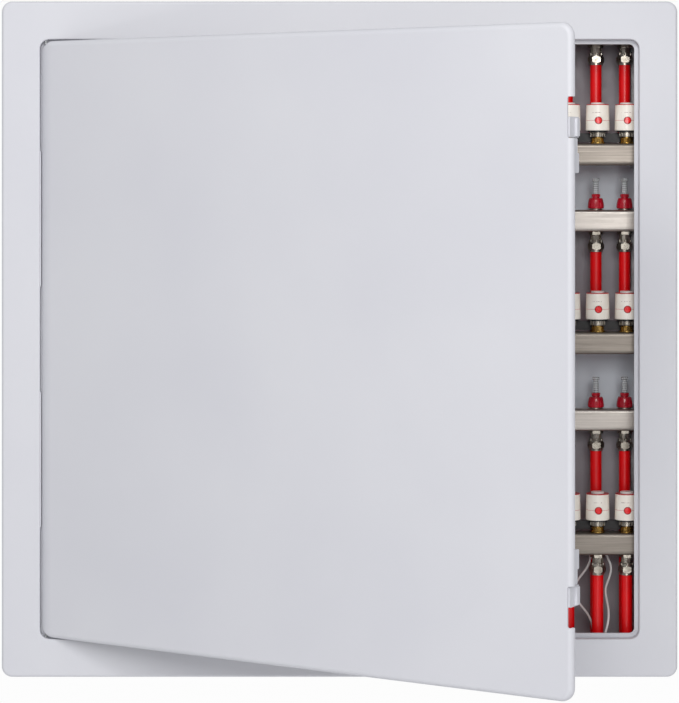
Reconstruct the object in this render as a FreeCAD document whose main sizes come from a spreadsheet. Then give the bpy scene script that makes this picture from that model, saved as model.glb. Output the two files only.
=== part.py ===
"""Three-tier underfloor heating manifold in a flush wall cabinet with a hinged plastic access door.

FreeCAD 1.1 macro, millimetres. +X runs to the right along the headers, +Y into the wall, +Z up.
The origin is the centre of the cabinet's back face, so a depth s in front of the wall is y = -s.
Every tier has a flow header with flow meters on top, and below and in front of it a return header
that carries the thermal actuators. The door is shown ajar.
"""
import FreeCAD, Part

import math
import os
import re

import Sketcher

# name: (value, what it is). Lengths in millimetres, angles in degrees.
SIZES = {
    # cabinet and trim frame
    "cabinet_depth": (160, "back face to the front of the trim frame"),
    "frame_size": (1150, "outside of the square trim frame"),
    "frame_corner": (18, "outer corner radius of the frame"),
    "frame_border": (65, "width of the frame's face around the door"),
    "frame_rim": (8, "depth of the frame's outer rim"),
    "frame_skin": (3, "wall of the frame's face and rim"),
    "frame_edge": (5, "rounding of the frame's outer front edge"),
    "recess_corner": (16, "corner radius of the door recess"),
    "recess_depth": (17, "frame face to the ledge behind the door"),
    "recess_edge": (2.2, "rounding of the recess mouth"),
    "ledge_width": (7, "width of the ledge behind the door"),
    "ledge_skin": (3, "thickness of the ledge"),
    "collar_depth": (20, "length of the collar behind the ledge"),
    "collar_skin": (3, "wall of the collar"),
    "side_pad": (1.4, "height of the pads on the hinge side of the recess"),
    "side_pad_length": (230, "length of each pad"),
    "side_pad_height": (205, "centre of each pad above and below the middle"),
    "box_skin": (1.5, "sheet of the cabinet box"),
    "box_inset": (9, "frame edge to the side of the box"),
    "box_mouth_gap": (3, "gap around the collar in the mouth of the box"),
    "wall_hole_span": (960, "spacing of the four wall fixing holes along X"),
    "wall_hole_rise": (1080, "spacing of the four wall fixing holes along Z"),
    "wall_hole_radius": (5, "radius of the wall fixing holes"),
    "slot_margin": (32, "slot in the bottom of the box, around the risers' axes"),
    "plate_skin": (2, "thickness of the mounting plates"),
    "plate_low": (-528, "lower edge of the lowest mounting plate"),
    # door, hinge and latches
    "door_gap": (2.5, "gap between door and recess all round"),
    "door_thick": (10, "depth of the door's edge"),
    "door_skin": (3.2, "face of the door"),
    "door_wall": (4, "edge wall of the door"),
    "door_edge": (8.5, "rounding of the door's front edge"),
    "bow_width": (24, "width of the door's curved hinge side"),
    "bow_drop": (5, "fall of that side towards the hinge"),
    "hinge_wall": (11, "solid edge of the door along the hinge"),
    "door_corner": (22, "corner radius of the door"),
    "door_angle": (31, "opening of the door as shown"),
    "rib_skin": (2.4, "thickness of the ribs behind the door"),
    "rib_depth": (9, "depth of the ribs behind the face"),
    "pin_inset": (7, "hinge axis from the door's edge and from its face"),
    "pin_radius": (2, "radius of the hinge pins"),
    "pin_length": (34, "length of a hinge pin inside the door"),
    "pin_reach": (6.5, "length of a hinge pin outside the door"),
    "knuckle_width": (10, "width of the block around a hinge pin"),
    "knuckle_drop": (13, "that block below the door's top edge"),
    "running_gap": (0.05, "radial clearance of turning fits"),
    "fixed_gap": (0.02, "radial clearance of fixed fits"),
    "notch_height": (62, "height of a latch notch in the door's edge"),
    "notch_depth": (8, "depth of a latch notch"),
    "notch_centre": (365, "latch notch above and below the middle"),
    "latch_width": (14, "width of the latch block"),
    "latch_height": (31, "height of the latch tongue"),
    "latch_inset": (5.5, "latch block from the door's edge"),
    "latch_depth": (34, "depth of the latch behind the door's face"),
    "latch_strip": (52, "height of the moulded latch housing"),
    "latch_nose": (4, "reach of the tongue's nose behind the ledge"),
    "latch_travel": (4.5, "stroke of the tongue"),
    "latch_gap": (1, "clearance around the tongue"),
    "latch_step": (24, "height of the housing's shallow part"),
    # headers
    "circuit_pitch": (50, "spacing of the heating circuits"),
    "first_circuit": (494, "rightmost circuit from the middle of the cabinet"),
    "header_height": (38, "height of a header bar"),
    "header_width": (34, "front to back of a header bar"),
    "header_corner": (6, "edge radius of a header bar"),
    "header_skin": (1.5, "wall of a header bar"),
    "header_right": (521, "right end of the headers"),
    "header_left": (112, "left end of the headers"),
    "flow_depth": (60, "flow header's axis in front of the wall"),
    "return_depth": (98, "return header's axis in front of the wall"),
    "upper_flow": (525, "height of the upper tier's flow header"),
    "middle_flow": (200, "height of the middle tier's flow header"),
    "lower_flow": (-146, "height of the lower tier's flow header"),
    "header_spacing": (210, "flow header down to return header"),
    "spigot_radius": (8.8, "screwed-in end of a valve or adapter"),
    "spigot_length": (2.9, "screwed-in length"),
    "port_radius": (9, "port in a header"),
    "plug_radius": (16, "round collar of an end plug"),
    "plug_length": (9, "end plug outside the header"),
    "union_radius": (20, "union nut across corners, half"),
    "union_length": (18, "length of a union nut"),
    # flow meters
    "meter_flange": (2, "height of the flow valve's flange"),
    "collar_low_radius": (14.2, "setting collar at its foot"),
    "collar_high_radius": (12, "setting collar at its shoulder"),
    "collar_height": (18, "height of the setting collar"),
    "neck_radius": (7.6, "ring on top of the setting collar"),
    "neck_height": (7, "height of that ring"),
    "tube_radius": (4.7, "sight tube"),
    "tube_bore": (3.5, "bore of the sight tube"),
    "tube_head_radius": (6.2, "head of the sight tube"),
    "tube_head": (5, "height of that head"),
    "meter_height": (55, "top of the sight tube above the header"),
    "float_radius": (2.6, "disc of the flow indicator"),
    "float_stem": (1.1, "stem of the flow indicator"),
    "float_travel": (16, "stroke of the flow indicator"),
    "lockshield_height": (17, "low cap on the upper tier's flow valves"),
    # return valves and actuators
    "valve_hex_radius": (11, "brass facets of the return valve"),
    "valve_hex_height": (9, "height of those facets"),
    "valve_neck_radius": (9, "threaded neck of the return valve"),
    "ring_low": (11, "actuator ring above the header"),
    "ring_height": (8.5, "height of the actuator ring"),
    "ring_radius": (13, "actuator ring"),
    "actuator_low": (22, "foot of the actuator above the header"),
    "actuator_height": (44, "height of the actuator shell"),
    "actuator_low_radius": (20.7, "actuator shell at its foot"),
    "actuator_high_radius": (19.8, "actuator shell at its top"),
    "actuator_skin": (2, "wall of the actuator shell"),
    "base_radius": (17.5, "actuator base plate"),
    "base_height": (2.4, "thickness of the actuator base plate"),
    "cap_radius": (19.4, "coloured top of the actuator"),
    "cap_height": (1.4, "thickness of that top"),
    "display_radius": (11.5, "function display in the actuator's top"),
    "display_height": (3, "display above the coloured top"),
    "stem_radius": (3, "stem of the return valve"),
    "disc_radius": (7.5, "valve disc inside the header"),
    "lens_radius": (6.6, "round mark on the actuator's front"),
    "lens_skin": (0.8, "depth of that mark in the shell"),
    "lens_rise": (0.25, "how proud of the shell it stands"),
    "lens_height": (17.5, "centre of the mark above the shell's foot"),
    # outlets and pipes
    "flange_radius": (13, "hexagon of an outlet adapter, across corners, half"),
    "flange_height": (5, "height of that hexagon"),
    "waist_radius": (9.8, "waist of an outlet adapter"),
    "crown_low": (20, "foot of the notched crown below the header"),
    "crown_height": (6, "height of the notched crown"),
    "crown_radius": (12.4, "notched crown"),
    "adapter_bore": (7, "water way of an outlet adapter"),
    "nut_radius": (14.4, "pipe nut across corners, half"),
    "nut_length": (11, "hexagon of the pipe nut"),
    "nut_skirt": (4, "round skirt of the pipe nut"),
    "skirt_radius": (12, "radius of that skirt"),
    "pipe_radius": (10, "outside of the heating pipes"),
    "pipe_bore": (8, "bore of the heating pipes"),
    "pipe_entry": (24, "pipe end below the header"),
    "pipe_gap": (0.4, "radial clearance where a pipe passes a sheet"),
    "bend_radius": (56, "bend of the flow pipes into the wall"),
    "bend_exit": (30, "flow pipe's wall exit above the return header"),
    "pipe_low": (-572, "lower end of the pipes that leave downwards"),
    # risers and main valves
    "riser_radius": (14, "outside of the risers"),
    "riser_bore": (12.5, "bore of the risers"),
    "flow_riser_x": (34, "flow riser from the middle"),
    "return_riser_x": (-36, "return riser from the middle"),
    "riser_top": (548, "upper end of the risers"),
    "main_valve_z": (-478, "height of the main valves"),
    "main_valve_radius": (20, "body of a main valve"),
    "main_valve_length": (74, "length of a main valve"),
    "main_bore": (12.5, "water way of the main valves"),
    "ball_radius": (16, "ball of a main valve"),
    "bonnet_radius": (9, "bonnet around the valve's spindle"),
    "bonnet_reach": (27, "bonnet front from the riser's axis"),
    "spindle_radius": (4, "spindle of a main valve"),
    "handle_span": (58, "butterfly handle from tip to tip"),
    "handle_width": (15, "width of a butterfly wing"),
    "handle_thick": (9, "thickness of the butterfly handle"),
    "hub_radius": (11, "hub of the butterfly handle"),
    # brackets, screws, electrics
    "bracket_width": (12, "width of a header bracket"),
    "bracket_inset": (6, "bracket's middle from the header's end"),
    "bracket_back": (20, "depth of the bracket's upright"),
    "strap_skin": (2, "thickness of a strap around a header"),
    "strap_gap": (0.3, "clearance between strap and header"),
    "strap_leg": (10, "length of a strap's legs behind the header"),
    "screw_radius": (1.9, "shank of a screw"),
    "screw_length": (6, "length of a screw"),
    "screw_head_radius": (4, "head of a screw"),
    "screw_head_height": (2.5, "height of that head"),
    "frame_screw_line": (537, "frame screws from the middle"),
    "boss_radius": (5, "screw boss behind the frame's face"),
    "centre_length": (300, "length of a wiring centre"),
    "centre_height": (88, "height of a wiring centre"),
    "centre_depth": (46, "depth of a wiring centre"),
    "centre_x": (-310, "middle of the wiring centres"),
    "centre_rise": (64, "wiring centre above the return header"),
    "cable_radius": (1.7, "actuator cable"),
    "cable_x": (5, "actuator cable from the actuator's axis, sideways"),
    "cable_back": (18.6, "actuator cable behind the actuator's axis"),
    "duct_low": (21.3, "cable duct above the return header's axis"),
    "duct_height": (16, "height of the cable duct"),
    "duct_back": (74.3, "back of the cable duct in front of the wall"),
    "duct_width": (9.4, "front to back of the cable duct"),
    "duct_skin": (1.2, "wall of the cable duct"),
    "lead_radius": (2, "slack lead in the lower tier"),
    "gland_radius": (6, "cable gland in the bottom of the box"),
}
CIRCUITS = 8
TIERS = ("upper", "middle", "lower")
METER_TIERS = ("middle", "lower")

doc = FreeCAD.newDocument("floor_heating_manifold")
sheet = doc.addObject("Spreadsheet::Sheet", "Dims")
for line, (alias, (amount, meaning)) in enumerate(SIZES.items(), 1):
    sheet.set(f"A{line}", alias)
    sheet.set(f"B{line}", str(amount))
    sheet.set(f"C{line}", meaning)
    sheet.setAlias(f"B{line}", alias)
doc.recompute()

# ---------------------------------------------------------------- formulas


def formula(text):
    """The text with each size's name written as its spreadsheet cell."""
    return re.sub(r"[a-z_]+", lambda m: f"Dims.{m[0]}" if m[0] in SIZES else m[0], str(text))


def amount(text):
    """What a formula comes to, in millimetres or degrees."""
    return float(sheet.evalExpression(formula(text)))


def bind(thing, **formulas):
    for prop, text in formulas.items():
        thing.setExpression(prop, formula(text))
    return thing


def place(thing, x=0, y=0, z=0, axis=None, angle=0):
    """Binds a thing's position, turned by an angle about an axis."""
    if axis:
        thing.Placement = FreeCAD.Placement(FreeCAD.Vector(), FreeCAD.Rotation(FreeCAD.Vector(*axis), 1))
        thing.setExpression("Placement.Rotation.Angle", formula(angle))
    for part, text in (("x", x), ("y", y), ("z", z)):
        thing.setExpression(f"Placement.Base.{part}", formula(text))
    return thing


# ---------------------------------------------------------------- Part helpers


def box(name, x, y, z, at=(0, 0, 0)):
    """A box with its lowest corner at a point."""
    thing = bind(doc.addObject("Part::Box", name), Length=x, Width=y, Height=z)
    return place(thing, *at)


def middle_box(name, x, y, z, at=(0, 0, 0)):
    """A box with its middle at a point."""
    corner = [f"{c} - ({size}) / 2" for c, size in zip(at, (x, y, z))]
    return box(name, x, y, z, corner)


FORWARD = {"axis": (1, 0, 0), "angle": 90}  # turns +Z to -Y, towards the door
BACKWARD = {"axis": (1, 0, 0), "angle": -90}  # turns +Z to +Y, into the wall
SIDEWAYS = {"axis": (0, 1, 0), "angle": 90}  # turns +Z to +X


def rod(name, radius, height, at=(0, 0, 0), turn=None):
    thing = bind(doc.addObject("Part::Cylinder", name), Radius=radius, Height=height)
    return place(thing, *at, **(turn or {}))


def cone(name, low, high, height, at=(0, 0, 0)):
    thing = bind(doc.addObject("Part::Cone", name), Radius1=low, Radius2=high, Height=height)
    return place(thing, *at)


def prism(name, sides, radius, height, at=(0, 0, 0), turn=None):
    thing = doc.addObject("Part::Prism", name)
    thing.Polygon = sides
    bind(thing, Circumradius=radius, Height=height)
    return place(thing, *at, **(turn or {}))


def fuse(name, *things):
    thing = doc.addObject("Part::MultiFuse", name)
    thing.Shapes = list(things)
    return thing


def cut(name, base, *tools):
    thing = doc.addObject("Part::Cut", name)
    thing.Base = base
    thing.Tool = tools[0] if len(tools) == 1 else group(f"{name}_tools", *tools)
    return thing


def common(name, first, second):
    thing = doc.addObject("Part::MultiCommon", name)
    thing.Shapes = [first, second]
    return thing


def group(name, *things):
    thing = doc.addObject("Part::Compound", name)
    thing.Links = list(things)
    return thing


def copy(name, source, x=0, y=0, z=0, axis=None, angle=0):
    """The source again, moved by a bound amount."""
    return place(group(name, source), x, y, z, axis, angle)


def mirrored(name, source):
    """The source mirrored top to bottom."""
    thing = doc.addObject("Part::Mirroring", name)
    thing.Source = source
    thing.Normal = FreeCAD.Vector(0, 0, 1)
    return thing


# ---------------------------------------------------------------- PartDesign helpers


def new_body(name):
    return doc.addObject("PartDesign::Body", name)


def sketch_on(body, name, role, offset=0):
    """An empty sketch on one of the body's own planes, moved along the plane's normal."""
    sketch = body.newObject("Sketcher::SketchObject", name)
    plane = [f for f in body.Origin.OriginFeatures if f.Role == role][0]
    sketch.AttachmentSupport = [(plane, "")]
    sketch.MapMode = "FlatFace"
    sketch.setExpression("AttachmentOffset.Base.z", formula(offset))
    return sketch


def fix_point(sketch, geometry, point, x, y):
    """Dimensions a point from the sketch's origin."""
    for kind, text, axis in (("DistanceX", x, -2), ("DistanceY", y, -1)):
        if str(text) == "0":
            sketch.addConstraint(Sketcher.Constraint("PointOnObject", geometry, point, axis))
            continue
        index = sketch.addConstraint(Sketcher.Constraint(kind, -1, 1, geometry, point, amount(text)))
        sketch.setExpression(f"Constraints[{index}]", formula(text))


def outline(sketch, points):
    """A closed polygon whose corners are formulas."""
    spots = [FreeCAD.Vector(amount(x), amount(y), 0) for x, y in points]
    lines = [
        sketch.addGeometry(Part.LineSegment(spots[k], spots[(k + 1) % len(spots)]), False)
        for k in range(len(spots))
    ]
    for k, here in enumerate(lines):
        sketch.addConstraint(Sketcher.Constraint("Coincident", here, 2, lines[(k + 1) % len(lines)], 1))
    for here, (x, y) in zip(lines, points):
        fix_point(sketch, here, 1, x, y)


def rectangle(sketch, x, y, width, height):
    """A rectangle about a middle point."""
    outline(sketch, [
        (f"{x} {sx} ({width}) / 2", f"{y} {sy} ({height}) / 2")
        for sx, sy in (("-", "-"), ("+", "-"), ("+", "+"), ("-", "+"))
    ])


def disc(sketch, x, y, radius):
    centre = FreeCAD.Vector(amount(x), amount(y), 0)
    circle = sketch.addGeometry(Part.Circle(centre, FreeCAD.Vector(0, 0, 1), amount(radius)), False)
    index = sketch.addConstraint(Sketcher.Constraint("Radius", circle, amount(radius)))
    sketch.setExpression(f"Constraints[{index}]", formula(radius))
    fix_point(sketch, circle, 3, x, y)


def rounded(sketch, width, height, radius, x=0, y=0):
    """A rectangle with round corners about a middle point, as lines and tangent arcs."""
    r = amount(radius)
    arcs, lines = [], []
    for k, (sx, sy) in enumerate(((1, 1), (-1, 1), (-1, -1), (1, -1))):
        cx = f"{x} {'+' if sx > 0 else '-'} (({width}) / 2 - ({radius}))"
        cy = f"{y} {'+' if sy > 0 else '-'} (({height}) / 2 - ({radius}))"
        circle = Part.Circle(FreeCAD.Vector(amount(cx), amount(cy), 0), FreeCAD.Vector(0, 0, 1), r)
        start = k * math.pi / 2
        arcs.append(sketch.addGeometry(Part.ArcOfCircle(circle, start, start + math.pi / 2), False))
        index = sketch.addConstraint(Sketcher.Constraint("Radius", arcs[k], r))
        sketch.setExpression(f"Constraints[{index}]", formula(radius))
        fix_point(sketch, arcs[k], 3, cx, cy)
    for k in range(4):
        start = sketch.getPoint(arcs[k], 2)
        end = sketch.getPoint(arcs[(k + 1) % 4], 1)
        lines.append(sketch.addGeometry(Part.LineSegment(start, end), False))
        sketch.addConstraint(Sketcher.Constraint("Tangent", arcs[k], 2, lines[k], 1))
        sketch.addConstraint(Sketcher.Constraint("Tangent", lines[k], 2, arcs[(k + 1) % 4], 1))


def feature(body, kind, name, sketch, length=None, reverse=False, middle=False):
    """A pad or pocket of a sketch."""
    thing = body.newObject(f"PartDesign::{kind}", name)
    thing.Profile = sketch
    thing.Reversed = reverse
    if middle:
        thing.Midplane = True
    bind(thing, Length=length)
    return thing


def turned(name, profile):
    """A body turned about Z from a closed (radius, height) profile."""
    body = new_body(name)
    sketch = sketch_on(body, f"{name}_profile", "XZ_Plane")
    outline(sketch, profile)
    turn = body.newObject("PartDesign::Revolution", f"{name}_turn")
    turn.Profile = sketch
    turn.ReferenceAxis = (sketch, ["V_Axis"])
    turn.Angle = 360
    return body


def notched(body, name, count, distance, radius, low, height):
    """Round grooves cut up the side of a turned body, evenly spaced about Z."""
    doc.recompute()
    sketch = sketch_on(body, f"{name}_groove", "XY_Plane", low)
    disc(sketch, distance, 0, radius)
    groove = feature(body, "Pocket", f"{name}_cut", sketch, height, reverse=True)
    pattern = body.newObject("PartDesign::PolarPattern", f"{name}_grooves")
    pattern.Originals = [groove]
    pattern.Axis = (sketch, ["N_Axis"])
    pattern.Occurrences = count
    body.Tip = pattern
    return body


def round_edges(body, name, radius, wanted):
    """A fillet of every edge of the body so far that a test picks out."""
    doc.recompute()
    base = body.Tip
    names = [f"Edge{k}" for k, edge in enumerate(base.Shape.Edges, 1) if wanted(edge)]
    if not names:
        raise ValueError(f"{name}: no edge to round")
    thing = body.newObject("PartDesign::Fillet", name)
    thing.Base = (base, names)
    bind(thing, Radius=radius)
    return thing


def at_depth(depth, half_size):
    """Picks the edges of a front outline: at one depth, and this far out."""
    y, reach = -amount(depth), amount(half_size)

    def test(edge):
        b = edge.BoundBox
        flat = abs(b.YMin - y) < 0.01 and abs(b.YMax - y) < 0.01
        return flat and abs(max(b.XMax, -b.XMin, b.ZMax, -b.ZMin) - reach) < 0.01

    return test


# ---------------------------------------------------------------- places

RECESS = "(frame_size - 2 * frame_border)"
DOOR_WIDTH = f"({RECESS} - 2 * door_gap)"
DOOR_FAR = f"({DOOR_WIDTH} - pin_inset)"  # door's free edge from the hinge axis
HINGE_X = f"(door_gap + pin_inset - {RECESS} / 2)"
HINGE_DEPTH = "(cabinet_depth - pin_inset)"
LEDGE_BACK = "(cabinet_depth - recess_depth - ledge_skin)"
COLLAR_BACK = f"({LEDGE_BACK} - collar_depth)"
COLLAR_SIZE = f"({RECESS} + 2 * collar_skin)"
BOX_SIZE = "(frame_size - 2 * box_inset)"
BOX_DEPTH = "(cabinet_depth - frame_rim)"
FLOW_TOP = "header_height / 2"


def circuit_x(k):
    return f"(first_circuit - {k} * circuit_pitch)"


def flow_z(tier):
    return f"{tier}_flow"


def return_z(tier):
    return f"({tier}_flow - header_spacing)"


def along(name, source):
    """One copy of the source at every circuit."""
    return group(name, *(copy(f"{name}_{k + 1}", source, circuit_x(k)) for k in range(CIRCUITS)))


def on_flow(name, row, tiers=TIERS, rise=0):
    """The row on the flow header of each tier."""
    return group(name, *(
        copy(f"{name}_{t}", row, 0, "-flow_depth", f"{flow_z(t)} + {rise}") for t in tiers
    ))


def on_return(name, row, tiers=TIERS, rise=0):
    """The row on the return header of each tier."""
    return group(name, *(
        copy(f"{name}_{t}", row, 0, "-return_depth", f"{return_z(t)} + {rise}") for t in tiers
    ))


# ---------------------------------------------------------------- enclosure


def trim_frame():
    body = new_body("trim_frame")
    face = sketch_on(body, "frame_face", "XZ_Plane", BOX_DEPTH)
    rounded(face, "frame_size", "frame_size", "frame_corner")
    feature(body, "Pad", "frame_slab", face, "frame_rim")
    round_edges(body, "frame_outer_edge", "frame_edge", at_depth("cabinet_depth", "frame_size / 2"))
    channel = sketch_on(body, "frame_channel", "XZ_Plane", BOX_DEPTH)
    inner = "frame_size - 2 * frame_skin"
    rounded(channel, inner, inner, "frame_corner - frame_skin")
    rounded(channel, COLLAR_SIZE, COLLAR_SIZE, "recess_corner + collar_skin")
    feature(body, "Pocket", "frame_channel_cut", channel, "frame_rim - frame_skin", reverse=True)
    collar = sketch_on(body, "frame_collar", "XZ_Plane", COLLAR_BACK)
    rounded(collar, COLLAR_SIZE, COLLAR_SIZE, "recess_corner + collar_skin")
    feature(body, "Pad", "frame_collar_pad", collar, f"cabinet_depth - frame_skin - {COLLAR_BACK}")
    mouth = sketch_on(body, "frame_recess", "XZ_Plane", "cabinet_depth")
    rounded(mouth, RECESS, RECESS, "recess_corner")
    feature(body, "Pocket", "frame_recess_cut", mouth, "recess_depth")
    opening = sketch_on(body, "frame_opening", "XZ_Plane", "cabinet_depth")
    clear = f"{RECESS} - 2 * ledge_width"
    rounded(opening, clear, clear, "recess_corner - ledge_width")
    feature(body, "Pocket", "frame_opening_cut", opening, "cabinet_depth")
    behind = sketch_on(body, "frame_behind", "XZ_Plane", LEDGE_BACK)
    rounded(behind, RECESS, RECESS, "recess_corner")
    feature(body, "Pocket", "frame_behind_cut", behind, "collar_depth + 1")
    round_edges(body, "frame_mouth_edge", "recess_edge", at_depth("cabinet_depth", f"{RECESS} / 2"))
    pads = sketch_on(body, "frame_side_pads", "XZ_Plane", LEDGE_BACK)
    for sign in ("", "-"):
        rectangle(pads, f"(side_pad - collar_skin) / 2 - {RECESS} / 2", f"{sign}side_pad_height",
                  "side_pad + collar_skin", "side_pad_length")
    feature(body, "Pad", "frame_side_pad", pads, "recess_depth + ledge_skin - recess_edge - 1")
    holes = sketch_on(body, "frame_pin_holes", "XY_Plane")
    disc(holes, HINGE_X, f"-{HINGE_DEPTH}", "pin_radius + running_gap")
    feature(body, "Pocket", "frame_pin_hole", holes, f"{RECESS} + 2 * collar_skin + 4", middle=True)
    bosses = sketch_on(body, "frame_bosses", "XZ_Plane", BOX_DEPTH)
    for x, z in frame_screws():
        disc(bosses, x, z, "boss_radius")
        disc(bosses, x, z, "screw_radius + fixed_gap")
    feature(body, "Pad", "frame_boss", bosses, "frame_rim - frame_skin")
    return body


def frame_screws():
    """Places of the screws that hold the frame to the box's front flange."""
    return [(f"{side}frame_screw_line", f"{k} * frame_screw_line / 2")
            for side in ("", "-") for k in (-1.6, -0.5, 0.5, 1.6)]


BOW_RADIUS = "((bow_width ^ 2 + bow_drop ^ 2) / (2 * bow_drop))"


def door_panel():
    """Built closed, about its hinge axis; a depth in front of the axis is -y."""
    body = new_body("door_shell")
    middle_x = f"({DOOR_WIDTH} / 2 - pin_inset)"
    back = "pin_inset - door_thick"
    slab = sketch_on(body, "door_face", "XZ_Plane", back)
    rounded(slab, DOOR_WIDTH, DOOR_WIDTH, "door_corner", middle_x)
    feature(body, "Pad", "door_slab", slab, "door_thick")
    front = -amount("pin_inset")
    round_edges(body, "door_front_edge", "door_edge",
                lambda e: abs(e.BoundBox.YMin - front) < 0.01 and abs(e.BoundBox.YMax - front) < 0.01)
    hollow = sketch_on(body, "door_hollow", "XZ_Plane", back)
    rounded(hollow, f"{DOOR_WIDTH} - door_wall - hinge_wall", f"{DOOR_WIDTH} - 2 * door_wall",
            "door_corner - door_wall", f"{middle_x} + (hinge_wall - door_wall) / 2")
    feature(body, "Pocket", "door_hollow_cut", hollow, "door_thick - door_skin", reverse=True)
    skin_back = "(pin_inset - door_skin)"
    upright = sketch_on(body, "door_uprights", "XZ_Plane", f"{skin_back} - rib_depth")
    for k in (1, 2, 3, 4):
        rectangle(upright, f"{k} * {DOOR_WIDTH} / 5 - pin_inset", "0.01", "rib_skin",
                  f"{DOOR_WIDTH} - 2 * door_wall")
    feature(body, "Pad", "door_upright_ribs", upright, "rib_depth")
    across = sketch_on(body, "door_crosses", "XZ_Plane", f"{skin_back} - rib_depth")
    for k in (-2, -1, 0, 1, 2):
        rectangle(across, middle_x, f"{k} * {DOOR_WIDTH} / 7 + 0.01",
                  f"{DOOR_WIDTH} - 2 * door_wall - 4 * pin_inset", "rib_skin")
    feature(body, "Pad", "door_cross_ribs", across, "rib_depth")
    blocks = sketch_on(body, "door_knuckles", "XZ_Plane", "-pin_inset")
    for sign in ("", "-"):
        rectangle(blocks, "0.5", f"{sign}({DOOR_WIDTH} / 2 - knuckle_drop - pin_length / 2)", "knuckle_width",
                  "pin_length")
    feature(body, "Pad", "door_knuckle", blocks, f"{skin_back} + pin_inset")
    for sign, name in (("", "upper"), ("-", "lower")):
        hole = sketch_on(body, f"door_{name}_pin", "XY_Plane", f"{sign}({DOOR_WIDTH} / 2)")
        disc(hole, 0, 0, "pin_radius + fixed_gap")
        feature(body, "Pocket", f"door_{name}_pin_hole", hole, "pin_length + 2", reverse=sign == "-")
    notches = sketch_on(body, "door_notches", "XZ_Plane")
    for sign in ("", "-"):
        rounded(notches, "2 * notch_depth", "notch_height", "3", DOOR_FAR, f"{sign}notch_centre")
    feature(body, "Pocket", "door_notch", notches, "4 * door_thick", middle=True)
    housings = latch_housing()
    shell = fuse("door_closed", body, housings, mirrored("latch_housing_low", housings))
    block = box("bow_block", "bow_width + 1", "bow_drop + 1", f"{DOOR_WIDTH} + 4",
                ("-pin_inset - 1", "-pin_inset - 1", f"-{DOOR_WIDTH} / 2 - 2"))
    curve = rod("bow_curve", BOW_RADIUS, f"{DOOR_WIDTH} + 8",
                ("bow_width - pin_inset", f"{BOW_RADIUS} - pin_inset", f"-{DOOR_WIDTH} / 2 - 4"))
    shell = cut("door_bowed", shell, cut("bow_tool", block, curve))
    return copy("door_panel", shell, HINGE_X, f"-{HINGE_DEPTH}", 0, (0, 0, -1), "door_angle")


LATCH_LEFT = f"({DOOR_FAR} - latch_inset - latch_width)"
LATCH_BACK = "(latch_depth - pin_inset)"  # behind the hinge axis
TONGUE_LOW = "(notch_centre - notch_height / 2 + latch_gap)"


def side_block(name, left, width, front, back, low, height, radius):
    """A block behind the door with round corners as seen from the door's edge."""
    body = new_body(name)
    sketch = sketch_on(body, f"{name}_outline", "YZ_Plane", left)
    rounded(sketch, f"{back} - ({front})", height, radius, f"({back} + {front}) / 2", f"{low} + ({height}) / 2")
    feature(body, "Pad", f"{name}_pad", sketch, width)
    return body


GUIDE_WIDTH = "(latch_travel + 1.5)"
GUIDE_LEFT = f"({LATCH_LEFT} - latch_travel - {GUIDE_WIDTH} - latch_gap)"


def latch_housing():
    """Stepped housing moulded on the door beside the notch, and a guide for the tongue's rod."""
    root = "(door_skin - pin_inset - 2.5)"
    near_low = f"({TONGUE_LOW} - latch_gap - latch_step)"
    near = side_block("latch_near", LATCH_LEFT, "latch_width", root, f"{LATCH_BACK} - 5", near_low,
                      "latch_step", "2")
    far_low = f"({TONGUE_LOW} - latch_gap - latch_strip)"
    far = side_block("latch_far", LATCH_LEFT, "latch_width", root, LATCH_BACK, far_low,
                     "latch_strip - latch_step + 2", "3")
    front, reach = "(door_skin - pin_inset - 0.5)", f"{LATCH_BACK} + pin_inset - door_skin + 0.5 - 4"
    low = f"({TONGUE_LOW} - 4 * latch_gap)"
    guide = box("latch_guide", GUIDE_WIDTH, reach, "latch_height + 4 * latch_gap", (GUIDE_LEFT, front, low))
    bridge = box("latch_bridge", f"{LATCH_LEFT} + 1 - {GUIDE_LEFT}", reach, "3 * latch_gap",
                 (GUIDE_LEFT, front, low))
    bore = rod("latch_guide_bore", "pin_radius + 1 + running_gap", f"{GUIDE_WIDTH} + 2",
               (f"{GUIDE_LEFT} - 1", f"{LATCH_BACK} / 2", f"{TONGUE_LOW} + latch_height / 2"), SIDEWAYS)
    return cut("latch_housing", fuse("latch_housing_solid", near, far, guide, bridge), bore)


def latch_tongue():
    """Sprung tongue; its nose snaps behind the frame's ledge, and its rod slides in the guide."""
    front = "(door_skin - pin_inset + 0.4)"
    block = side_block("tongue_block", LATCH_LEFT, "latch_width", front, LATCH_BACK, TONGUE_LOW,
                       "latch_height", "2")
    nose_front = f"({HINGE_DEPTH} - {LEDGE_BACK} + 0.5)"
    nose = box("tongue_nose", "latch_nose + 1", f"{LATCH_BACK} - {nose_front}", "latch_height - 4",
               (f"{LATCH_LEFT} + latch_width - 1", nose_front, f"{TONGUE_LOW} + 2"))
    slope = box("tongue_slope", "latch_nose * 4", "latch_nose * 4", "latch_height + 2")
    place(slope, f"{LATCH_LEFT} + latch_width + latch_nose", f"{LATCH_BACK} - latch_nose - 1",
          f"{TONGUE_LOW} - 1", (0, 0, 1), 45)
    guide = rod("tongue_rod", "pin_radius + 1", f"{LATCH_LEFT} + 1 - {GUIDE_LEFT}",
                (GUIDE_LEFT, f"{LATCH_BACK} / 2", f"{TONGUE_LOW} + latch_height / 2"), SIDEWAYS)
    return cut("latch_tongue", fuse("latch_tongue_solid", block, nose, guide), slope)


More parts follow.
